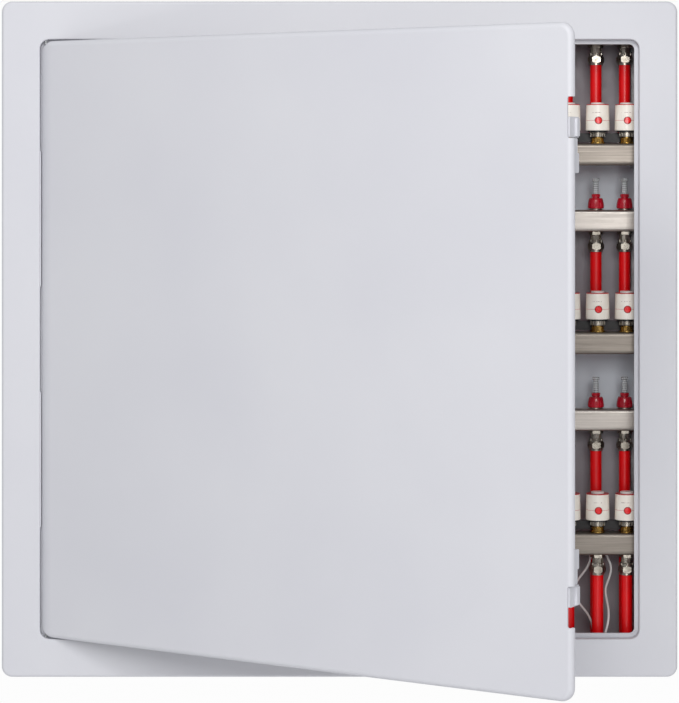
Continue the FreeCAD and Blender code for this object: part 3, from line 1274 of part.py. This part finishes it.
def assemble():
    """Every sub-part as {node name: document object}."""
    nodes = {"trim_frame": trim_frame(), "cabinet_box": cabinet_box(), "mounting_plates": mounting_plates(),
             "door_panel": door_panel()}
    pin = rod("hinge_pin", "pin_radius", "pin_length + pin_reach - 1")
    stand = f"{DOOR_WIDTH} / 2 - pin_length + 1"
    nodes["hinge_pins"] = group(
        "hinge_pins",
        copy("hinge_pin_upper", pin, HINGE_X, f"-{HINGE_DEPTH}", stand),
        copy("hinge_pin_lower", pin, HINGE_X, f"-{HINGE_DEPTH}", f"-({stand}) - (pin_length + pin_reach - 1)"),
    )
    tongue = latch_tongue()
    for name, source in (("upper", tongue), ("lower", mirrored("latch_tongue_low", tongue))):
        nodes[f"latch_tongue_{name}"] = copy(f"latch_tongue_{name}", source, HINGE_X, f"-{HINGE_DEPTH}", 0,
                                             (0, 0, -1), "door_angle")
    nodes["flow_headers"] = flow_headers()
    nodes["return_headers"] = return_headers()
    nodes["header_end_fittings"] = header_end_fittings()
    nodes["risers"] = risers()
    body, ball, handle = main_valve_body(), main_valve_ball(), main_valve_handle()
    spots = {side: (f"{side}_riser_x", f"-{side}_depth", "main_valve_z") for side in ("flow", "return")}
    nodes["main_valve_bodies"] = group("main_valve_bodies", *(
        copy(f"{side}_valve_body", body, *spot) for side, spot in spots.items()))
    for side, spot in spots.items():
        nodes[f"{side}_valve_ball"] = copy(f"{side}_valve_ball", ball, *spot)
        nodes[f"{side}_valve_handle"] = copy(f"{side}_valve_handle", handle, *spot)
    nodes["flow_meter_bases"] = on_flow("flow_meter_bases", along("meter_base_row", flow_meter_base()),
                                        rise=FLOW_TOP)
    nodes["lockshield_caps"] = on_flow("lockshield_caps", along("lockshield_row", lockshield_cap()),
                                       ("upper",), FLOW_TOP)
    nodes["sight_tubes"] = on_flow("sight_tubes", along("sight_tube_row", sight_tube()), METER_TIERS, FLOW_TOP)
    collar = flow_collar()
    indicators = along("indicator_row", flow_indicator())
    for t in METER_TIERS:
        for k in range(CIRCUITS):
            name = f"flow_collar_{t}_{k + 1}"
            nodes[name] = copy(name, collar, circuit_x(k), "-flow_depth", f"{flow_z(t)} + {FLOW_TOP}")
        nodes[f"flow_indicators_{t}"] = on_flow(f"flow_indicators_{t}", indicators, (t,), FLOW_TOP)
    returns = {
        "return_valve_bodies": return_valve_body(), "actuator_rings": actuator_ring(),
        "actuator_bases": actuator_base(), "actuator_shells": actuator_shell(),
        "actuator_lenses": actuator_lens(), "actuator_caps": actuator_cap(), "actuator_cables": actuator_cable(),
    }
    for name, source in returns.items():
        nodes[name] = on_return(name, along(f"{name}_row", source), rise=FLOW_TOP)
    displays, stems = along("display_row", function_display()), along("stem_row", valve_stem())
    for t in TIERS:
        nodes[f"actuator_displays_{t}"] = on_return(f"actuator_displays_{t}", displays, (t,), FLOW_TOP)
        nodes[f"valve_stems_{t}"] = on_return(f"valve_stems_{t}", stems, (t,), FLOW_TOP)
    nodes["outlet_adapters"] = outlets("outlet_adapters", outlet_adapter())
    nodes["adapter_nuts"] = outlets("adapter_nuts", adapter_nut())
    nodes["flow_pipes"] = flow_pipes()
    nodes["return_pipes"] = return_pipes()
    nodes["header_brackets"] = group("header_brackets", uprights(), header_straps())
    nodes["fixing_screws"] = fixing_screws()
    nodes["wiring_centres"] = group("wiring_centres", *(wiring_centre(t) for t in TIERS))
    nodes["cable_ducts"] = group("cable_ducts", *(cable_duct(t) for t in TIERS), *lead_glands())
    nodes["slack_lead_a"] = slack_lead("slack_lead_a", LEAD_A)
    nodes["slack_lead_b"] = slack_lead("slack_lead_b", LEAD_B)
    return nodes


def check_document():
    """Stops if a feature failed, or if a pocket cut nothing."""
    for thing in doc.Objects:
        if {"Invalid", "Error"} & set(thing.State):
            raise ValueError(f"{thing.Name} failed: {thing.State}")
        if thing.TypeId == "PartDesign::Pocket":
            if thing.Shape.Volume > thing.BaseFeature.Shape.Volume - 0.01:
                raise ValueError(f"{thing.Name} cuts nothing")
        if thing.TypeId == "Sketcher::SketchObject" and not thing.FullyConstrained:
            raise ValueError(f"{thing.Name} isn't fully constrained")


def export(nodes):
    os.makedirs("parts", exist_ok=True)
    for name, thing in nodes.items():
        shape = thing.Shape
        if shape.isNull() or not shape.isValid() or not shape.Solids:
            raise ValueError(f"{name} has no valid solid")
        thing.Label = name
        shape.exportStep(f"parts/{name}.step")
    print(f"{len(nodes)} nodes, {sum(len(n.Shape.Solids) for n in nodes.values())} solids")


made = assemble()
doc.recompute()
check_document()
export(made)
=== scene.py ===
import math

import bpy
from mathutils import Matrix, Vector

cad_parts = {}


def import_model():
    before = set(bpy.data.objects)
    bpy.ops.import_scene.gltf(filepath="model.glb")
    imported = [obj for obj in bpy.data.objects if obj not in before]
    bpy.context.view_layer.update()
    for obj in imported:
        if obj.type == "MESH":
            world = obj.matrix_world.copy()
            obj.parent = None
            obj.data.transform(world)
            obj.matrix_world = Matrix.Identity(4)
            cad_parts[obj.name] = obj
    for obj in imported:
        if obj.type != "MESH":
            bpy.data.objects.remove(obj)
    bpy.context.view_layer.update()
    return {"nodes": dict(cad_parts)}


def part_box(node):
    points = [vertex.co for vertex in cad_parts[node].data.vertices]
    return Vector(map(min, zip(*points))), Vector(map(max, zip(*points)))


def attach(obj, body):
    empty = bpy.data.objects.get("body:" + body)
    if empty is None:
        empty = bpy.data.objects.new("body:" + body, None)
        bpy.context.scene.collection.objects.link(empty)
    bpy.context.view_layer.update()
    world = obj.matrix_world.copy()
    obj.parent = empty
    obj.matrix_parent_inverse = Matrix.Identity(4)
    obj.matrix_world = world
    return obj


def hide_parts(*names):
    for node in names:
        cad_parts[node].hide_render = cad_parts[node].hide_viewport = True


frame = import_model()
nodes = frame["nodes"]

# ---------------------------------------------------------------- camera

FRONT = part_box("trim_frame")[0].y  # the trim frame's face
WIDTH_PX, HEIGHT_PX = 679, 703
SPAN = 1.15 / 676  # metres a pixel on the trim frame's face
FOCUS_PX = 2417  # camera distance, in pixels
ASIDE = 0.113  # camera to the right of the frame's middle
HORIZON = 178  # pixel row of the horizon
MIDDLE_ROW = 339.3  # pixel row of the frame's middle


def camera():
    data = bpy.data.cameras.new("camera")
    cam = bpy.data.objects.new("camera", data)
    bpy.context.scene.collection.objects.link(cam)
    data.sensor_fit = "HORIZONTAL"
    data.sensor_width = 36
    data.lens = 36 * FOCUS_PX / WIDTH_PX
    data.shift_x = -ASIDE / SPAN / WIDTH_PX
    data.shift_y = (HORIZON - HEIGHT_PX / 2) / WIDTH_PX
    data.clip_start, data.clip_end = 0.05, 60
    cam.location = (ASIDE, FRONT - FOCUS_PX * SPAN, (MIDDLE_ROW - HORIZON) * SPAN)
    cam.rotation_euler = (math.radians(90), 0, 0)
    bpy.context.scene.camera = cam


camera()

# ---------------------------------------------------------------- slack leads

# The route's own points, in millimetres: x, distance in front of the wall, height.
LEADS = {
    "slack_lead_a": [
        (450, 78, -335), (450, 78, -346), (454, 74.5, -366), (463, 75, -384), (470.5, 77, -402),
        (465, 81, -420), (458, 83, -437), (460, 87, -453), (463, 100, -470), (462, 110, -487),
        (457, 115, -505), (450, 116, -524), (446, 116, -545), (446, 116, -560)],
    "slack_lead_b": [
        (436, 78, -335), (436, 78, -346), (435.5, 74.5, -371), (431, 74, -399), (416, 73, -417),
        (403, 74, -436), (407, 76, -456), (421, 78, -472), (433, 79, -488), (438, 79, -510),
        (439, 79.5, -530), (438, 79, -545), (438, 79, -560)],
}


def lead(node, points):
    curve = bpy.data.curves.new(f"{node}_line", "CURVE")
    curve.dimensions = "3D"
    curve.bevel_depth = 0.002
    curve.bevel_resolution = 6
    curve.use_fill_caps = True
    curve.resolution_u = 24
    spline = curve.splines.new("NURBS")
    spline.points.add(len(points) - 1)
    for spot, (x, depth, z) in zip(spline.points, points):
        spot.co = (x / 1000, -depth / 1000, z / 1000, 1)
    spline.order_u = 3
    spline.use_endpoint_u = True
    piece = bpy.data.objects.new(f"{node}_flex", curve)
    bpy.context.scene.collection.objects.link(piece)
    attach(piece, "cabinet_and_pipework")
    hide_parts(node)
    x, depth, z = points[0]
    return piece


leads = [lead(node, points) for node, points in LEADS.items()]

# ---------------------------------------------------------------- material helpers


class Net:
    """A new material's nodes, with short calls to add and link them."""

    def __init__(self, name):
        self.material = bpy.data.materials.new(name)
        self.material.use_nodes = True
        self.tree = self.material.node_tree
        self.shader = self.tree.nodes["Principled BSDF"]
        self.place = self.add("ShaderNodeTexCoord").outputs["Object"]

    def add(self, kind, **values):
        node = self.tree.nodes.new(kind)
        for key, value in values.items():
            setattr(node, key, value)
        return node

    def link(self, source, target):
        self.tree.links.new(source, target)

    def put(self, socket, value):
        """A number, colour or another node's output on a socket."""
        if hasattr(value, "is_output"):
            self.link(value, socket)
        else:
            socket.default_value = value

    def stretched(self, scale):
        node = self.add("ShaderNodeMapping")
        self.link(self.place, node.inputs["Vector"])
        node.inputs["Scale"].default_value = scale
        return node.outputs["Vector"]

    def noise(self, scale, detail=3, rough=0.5, where=None):
        node = self.add("ShaderNodeTexNoise")
        self.link(where or self.place, node.inputs["Vector"])
        node.inputs["Scale"].default_value = scale
        node.inputs["Detail"].default_value = detail
        node.inputs["Roughness"].default_value = rough
        return node.outputs["Fac"]

    def math(self, operation, a, b=0.0, clamp=False):
        node = self.add("ShaderNodeMath", operation=operation, use_clamp=clamp)
        self.put(node.inputs[0], a)
        self.put(node.inputs[1], b)
        return node.outputs[0]

    def spread(self, value, low, high, to_low, to_high):
        node = self.add("ShaderNodeMapRange")
        self.put(node.inputs["Value"], value)
        for key, number in (("From Min", low), ("From Max", high), ("To Min", to_low), ("To Max", to_high)):
            node.inputs[key].default_value = number
        return node.outputs["Result"]

    def mix(self, amount, first, second):
        node = self.add("ShaderNodeMix", data_type="RGBA")
        self.put(node.inputs[0], amount)
        self.put(node.inputs[6], first)
        self.put(node.inputs[7], second)
        return node.outputs[2]

    def bump(self, height, distance, strength=1.0, onto=None):
        node = self.add("ShaderNodeBump")
        self.put(node.inputs["Height"], height)
        node.inputs["Distance"].default_value = distance
        node.inputs["Strength"].default_value = strength
        if onto:
            self.link(onto, node.inputs["Normal"])
        return node.outputs["Normal"]

    def axes(self):
        node = self.add("ShaderNodeSeparateXYZ")
        self.link(self.place, node.inputs[0])
        return node.outputs

    def set(self, **values):
        for key, value in values.items():
            self.put(self.shader.inputs[key.replace("_", " ")], value)
        return self


def rgb(r, g, b):
    """A colour from its screen values, 0 to 255."""
    return tuple((c / 255 / 12.92 if c / 255 < 0.04045 else ((c / 255 + 0.055) / 1.055) ** 2.4)
                 for c in (r, g, b)) + (1.0,)


# ---------------------------------------------------------------- materials


def moulded(name, colour, deep, rough=0.45, grain=420, depth=0.00012):
    """Moulded plastic with a fine spark-eroded grain and a slight unevenness of colour."""
    m = Net(name)
    cloud = m.noise(3.0, 2)
    fine = m.noise(grain, 2, 0.6)
    m.set(Base_Color=m.mix(m.spread(cloud, 0.35, 0.65, 0, 1), colour, deep))
    m.set(Roughness=m.spread(fine, 0.3, 0.7, rough - 0.05, rough + 0.07))
    m.set(Normal=m.bump(fine, depth, 0.6))
    m.shader.inputs["IOR"].default_value = 1.5
    return m.material


def smooth_plastic(name, colour, deep, rough=0.25, coat=0.0):
    m = Net(name)
    m.set(Base_Color=m.mix(m.spread(m.noise(35, 3), 0.35, 0.65, 0, 1), colour, deep))
    m.set(Roughness=m.spread(m.noise(140, 4), 0.3, 0.7, rough - 0.02, rough + 0.03))
    m.set(Normal=m.bump(m.noise(260, 2), 0.00001, 0.15))
    m.shader.inputs["Coat Weight"].default_value = coat
    m.shader.inputs["Coat Roughness"].default_value = 0.08
    return m.material


def metal(name, colour, deep, rough=0.25, wear=60):
    m = Net(name)
    m.set(Base_Color=m.mix(m.spread(m.noise(wear, 4), 0.35, 0.7, 0, 1), colour, deep))
    m.set(Roughness=m.spread(m.noise(wear * 4, 3), 0.3, 0.7, rough - 0.07, rough + 0.1))
    m.set(Normal=m.bump(m.noise(wear * 9, 2), 0.00004, 0.5))
    m.shader.inputs["Metallic"].default_value = 1.0
    return m.material


def brushed(name, colour, deep, rough=0.34):
    """Stainless steel brushed along X."""
    m = Net(name)
    lines = m.noise(1.0, 4, 0.7, where=m.stretched((9, 900, 900)))
    broad = m.noise(1.0, 2, 0.5, where=m.stretched((3, 60, 60)))
    m.set(Base_Color=m.mix(m.spread(lines, 0.3, 0.7, 0, 1), colour, deep))
    m.set(Roughness=m.math("ADD", m.spread(lines, 0.3, 0.7, rough - 0.09, rough + 0.09),
                           m.spread(broad, 0.3, 0.7, -0.04, 0.04)))
    m.set(Normal=m.bump(lines, 0.00006, 0.55))
    m.shader.inputs["Metallic"].default_value = 1.0
    return m.material


def sheet_metal(name, colour, deep, rough=0.5):
    m = Net(name)
    m.set(Base_Color=m.mix(m.spread(m.noise(5, 3), 0.3, 0.7, 0, 1), colour, deep))
    m.set(Roughness=m.spread(m.noise(90, 4), 0.3, 0.7, rough - 0.08, rough + 0.08))
    m.set(Normal=m.bump(m.noise(340, 2), 0.00006, 0.4))
    return m.material


FLOW = {"upper": 0.525, "middle": 0.200, "lower": -0.146}
CIRCUIT_RIGHT, CIRCUIT_PITCH = 0.494, 0.05
MARK_Z = [z - 0.210 + 0.019 + 0.022 + 0.0175 for z in FLOW.values()]


def actuator_white():
    """Actuator shell: off-white, with a thin red line round the front and a few grey print marks."""
    m = Net("actuator_shell_plastic")
    x, y, z = m.axes()
    rise = None
    for level in MARK_Z:
        gap = m.math("SUBTRACT", z, level)
        near = m.math("ABSOLUTE", gap)
        rise = near if rise is None else m.math("MINIMUM", rise, near)
    front = m.math("LESS_THAN", y, -0.098 - 0.004)
    line = m.math("MULTIPLY", m.math("LESS_THAN", rise, 0.00035), front)
    above = None
    for level in MARK_Z:
        near = m.math("ABSOLUTE", m.math("SUBTRACT", z, level + 0.0135))
        above = near if above is None else m.math("MINIMUM", above, near)
    cell = m.math("FRACT", m.math("DIVIDE", m.math("SUBTRACT", x, CIRCUIT_RIGHT - CIRCUIT_PITCH / 2), CIRCUIT_PITCH))
    band = m.math("MULTIPLY", m.math("GREATER_THAN", cell, 0.29), m.math("LESS_THAN", cell, 0.62))
    dashes = m.math("GREATER_THAN", m.noise(1.0, 1, where=m.stretched((900, 1, 1))), 0.5)
    mark = m.math("MULTIPLY", m.math("MULTIPLY", m.math("LESS_THAN", above, 0.0007), front),
                  m.math("MULTIPLY", band, dashes))
    plain = m.mix(m.spread(m.noise(40, 3), 0.35, 0.65, 0, 1), rgb(252, 246, 236), rgb(246, 238, 226))
    inked = m.mix(m.math("MULTIPLY", mark, 0.65), plain, rgb(150, 120, 118))
    m.set(Base_Color=m.mix(m.math("MULTIPLY", line, 0.75), inked, rgb(206, 60, 58)))
    m.set(Roughness=m.spread(m.noise(150, 3), 0.3, 0.7, 0.28, 0.38))
    m.set(Normal=m.bump(m.noise(420, 2), 0.00004, 0.4))
    return m.material


def lens_red():
    """Red mark on an actuator, darker at its rim."""
    m = Net("lens_plastic")
    x, y, z = m.axes()
    cell = m.math("FRACT", m.math("DIVIDE", m.math("SUBTRACT", x, CIRCUIT_RIGHT - CIRCUIT_PITCH / 2), CIRCUIT_PITCH))
    across = m.math("MULTIPLY", m.math("SUBTRACT", cell, 0.5), CIRCUIT_PITCH)
    rise = None
    for level in MARK_Z:
        near = m.math("ABSOLUTE", m.math("SUBTRACT", z, level))
        rise = near if rise is None else m.math("MINIMUM", rise, near)
    out = m.math("SQRT", m.math("ADD", m.math("MULTIPLY", across, across), m.math("MULTIPLY", rise, rise)))
    rim = m.spread(out, 0.0042, 0.0064, 0, 1)
    m.set(Base_Color=m.mix(rim, rgb(240, 18, 24), rgb(120, 0, 4)))
    m.set(Roughness=m.spread(m.noise(140, 4), 0.3, 0.7, 0.24, 0.32))
    m.set(Normal=m.bump(m.noise(260, 2), 0.00005, 0.4))
    m.shader.inputs["Coat Weight"].default_value = 0.2
    return m.material


def clear_tube():
    """Clear sight tube with a moulded scale of dark rings."""
    m = Net("sight_tube_plastic")
    x, y, z = m.axes()
    step = m.math("FRACT", m.math("MULTIPLY", z, 1 / 0.0032))
    ring = m.math("LESS_THAN", step, 0.24)
    dust = m.noise(400, 2)
    m.set(Base_Color=m.mix(ring, rgb(250, 252, 253), rgb(70, 70, 72)))
    m.set(Roughness=m.spread(dust, 0.3, 0.7, 0.03, 0.12))
    m.set(Normal=m.bump(dust, 0.00004, 0.3))
    m.set(Transmission_Weight=m.math("SUBTRACT", 0.5, m.math("MULTIPLY", ring, 0.3)))
    m.shader.inputs["IOR"].default_value = 1.46
    return m.material


made = {
    "panel": moulded("panel_plastic", rgb(214, 214, 219), rgb(210, 210, 216)),
    "box": sheet_metal("box_sheet", rgb(220, 226, 233), rgb(212, 219, 227), 0.45),
    # mounting plates: their dark grey is painted shade, standing in for the shade behind the pipes
    "plates": sheet_metal("plate_sheet_painted_shade", rgb(160, 156, 161), rgb(144, 140, 146), 0.5),
    "zinc": metal("zinc_plated_steel", rgb(178, 179, 180), rgb(150, 152, 154), 0.38),
    "centres": moulded("wiring_centre_plastic", rgb(206, 208, 210), rgb(198, 200, 203), 0.4, 600, 0.00006),
    # cable ducts: a real duct; its near-black colour is also painted shade for the dark band above the headers
    "ducts": moulded("duct_plastic_and_painted_shade", rgb(46, 44, 45), rgb(36, 34, 35), 0.5, 600, 0.00006),
    "flow_steel": brushed("flow_header_steel", rgb(200, 193, 186), rgb(172, 165, 158), 0.42),
    # return headers: the same brushed steel as the flow headers, made darker as painted shade
    "return_steel_painted_shade": brushed("return_header_steel_painted_shade", rgb(158, 150, 141), rgb(126, 118, 110), 0.45),
    "riser_steel": brushed("riser_steel", rgb(205, 202, 197), rgb(176, 173, 168)),
    "nickel": metal("nickel_plate", rgb(186, 180, 168), rgb(140, 133, 122), 0.3),
    "brass": metal("bare_brass", rgb(186, 152, 86), rgb(140, 104, 46), 0.28),
    "collars": smooth_plastic("collar_plastic", rgb(196, 14, 40), rgb(160, 6, 28), 0.28, 0.3),
    "caps": smooth_plastic("cap_plastic", rgb(206, 22, 30), rgb(180, 12, 20), 0.3, 0.2),
    "lens": lens_red(),
    "black": smooth_plastic("black_plastic", rgb(26, 24, 24), rgb(16, 15, 15), 0.35),
    "white": smooth_plastic("display_plastic", rgb(236, 233, 228), rgb(224, 221, 216), 0.32),
    "lead": smooth_plastic("lead_sheath", rgb(228, 226, 224), rgb(214, 212, 210), 0.36),
    "red_handle": smooth_plastic("red_handle_plastic", rgb(190, 24, 26), rgb(160, 14, 18), 0.32, 0.2),
    "blue_handle": smooth_plastic("blue_handle_plastic", rgb(34, 74, 168), rgb(24, 56, 140), 0.32, 0.2),
    "pipe": smooth_plastic("pipe_red", rgb(242, 0, 10), rgb(230, 0, 6), 0.34, 0.05),
    "shell": actuator_white(),
    "tube": clear_tube(),
}

LOOKS = {
    "cabinet_box": "box", "trim_frame": "panel", "door_panel": "panel", "latch_tongue_upper": "panel",
    "latch_tongue_lower": "panel", "hinge_pins": "zinc", "mounting_plates": "plates", "header_brackets": "zinc",
    "fixing_screws": "zinc", "wiring_centres": "centres", "cable_ducts": "ducts", "flow_headers": "flow_steel",
    "return_headers": "return_steel_painted_shade", "header_end_fittings": "nickel", "risers": "riser_steel",
    "main_valve_bodies": "nickel", "flow_valve_ball": "nickel", "return_valve_ball": "nickel",
    "flow_valve_handle": "red_handle", "return_valve_handle": "blue_handle", "flow_meter_bases": "nickel",
    "lockshield_caps": "caps", "sight_tubes": "tube", "return_valve_bodies": "brass", "actuator_rings": "nickel",
    "actuator_bases": "black", "actuator_shells": "shell", "actuator_lenses": "lens", "actuator_caps": "caps",
    "actuator_cables": "lead", "outlet_adapters": "nickel", "adapter_nuts": "nickel", "flow_pipes": "pipe",
    "return_pipes": "pipe", "slack_lead_a": "lead", "slack_lead_b": "lead",
}


def look_of(node):
    for start, look in (("flow_collar", "collars"), ("flow_indicators", "black"), ("valve_stems", "brass"),
                        ("actuator_displays", "white")):
        if node.startswith(start):
            return look
    return LOOKS[node]


for name, thing in nodes.items():
    thing.data.materials.clear()
    thing.data.materials.append(made[look_of(name)])
for piece in leads:
    piece.data.materials.append(made["lead"])

# ---------------------------------------------------------------- stage and light


def stage():
    floor_net = Net("floor_paint")
    floor_net.set(Base_Color=floor_net.mix(floor_net.spread(floor_net.noise(0.6, 2), 0.3, 0.7, 0, 1),
                                           rgb(250, 250, 250), rgb(247, 247, 248)))
    floor_net.shader.inputs["Roughness"].default_value = 0.9
    mesh = bpy.data.meshes.new("floor")
    low, half = -1.3, 2.2
    mesh.from_pydata([(-half, -half, low), (half, -half, low), (half, half, low), (-half, half, low)], [],
                     [(0, 1, 2, 3)])
    floor = bpy.data.objects.new("floor", mesh)
    bpy.context.scene.collection.objects.link(floor)
    mesh.materials.append(floor_net.material)


def area(name, spot, aim, size, power, colour=(1, 1, 1)):
    data = bpy.data.lights.new(name, "AREA")
    data.shape = "RECTANGLE"
    data.size, data.size_y = size
    data.energy = power
    data.color = colour
    light = bpy.data.objects.new(name, data)
    bpy.context.scene.collection.objects.link(light)
    light.location = spot
    light.rotation_euler = (Vector(aim) - Vector(spot)).to_track_quat("-Z", "Y").to_euler()


def world():
    """Soft light from above, weaker from below; a white page behind the object."""
    made_world = bpy.data.worlds.new("studio")
    made_world.use_nodes = True
    tree = made_world.node_tree
    spot = tree.nodes.new("ShaderNodeTexCoord")
    split = tree.nodes.new("ShaderNodeSeparateXYZ")
    tree.links.new(spot.outputs["Generated"], split.inputs[0])
    ramp = tree.nodes.new("ShaderNodeValToRGB")
    ramp.color_ramp.elements[0].position, ramp.color_ramp.elements[0].color = 0.0, (0.28, 0.28, 0.29, 1)
    ramp.color_ramp.elements[1].position, ramp.color_ramp.elements[1].color = 1.0, (0.50, 0.51, 0.52, 1)
    rise = tree.nodes.new("ShaderNodeMapRange")
    rise.inputs["From Min"].default_value = -0.6
    rise.inputs["From Max"].default_value = 0.8
    tree.links.new(split.outputs["Z"], rise.inputs["Value"])
    tree.links.new(rise.outputs["Result"], ramp.inputs["Fac"])
    path = tree.nodes.new("ShaderNodeLightPath")
    page = tree.nodes.new("ShaderNodeMix")
    page.data_type = "RGBA"
    tree.links.new(path.outputs["Is Camera Ray"], page.inputs[0])
    tree.links.new(ramp.outputs["Color"], page.inputs[6])
    page.inputs[7].default_value = (0.98, 0.98, 0.98, 1)
    tree.links.new(page.outputs[2], tree.nodes["Background"].inputs["Color"])
    bpy.context.scene.world = made_world


def lights():
    world()
    area("key", (-0.6, -3.0, 2.0), (-0.1, 0, 0), (1.6, 0.8), 34)
    area("front", (0.35, -4.2, 1.1), (0.3, 0, 0), (1.6, 1.2), 54)
    area("strip", (2.7, -2.6, 0.4), (0.45, 0, 0), (0.2, 2.2), 4)
    area("low", (0.3, -3.9, -1.0), (0.2, 0, -0.2), (1.4, 0.5), 8)


stage()
lights()
bpy.context.scene.view_settings.view_transform = "Standard"
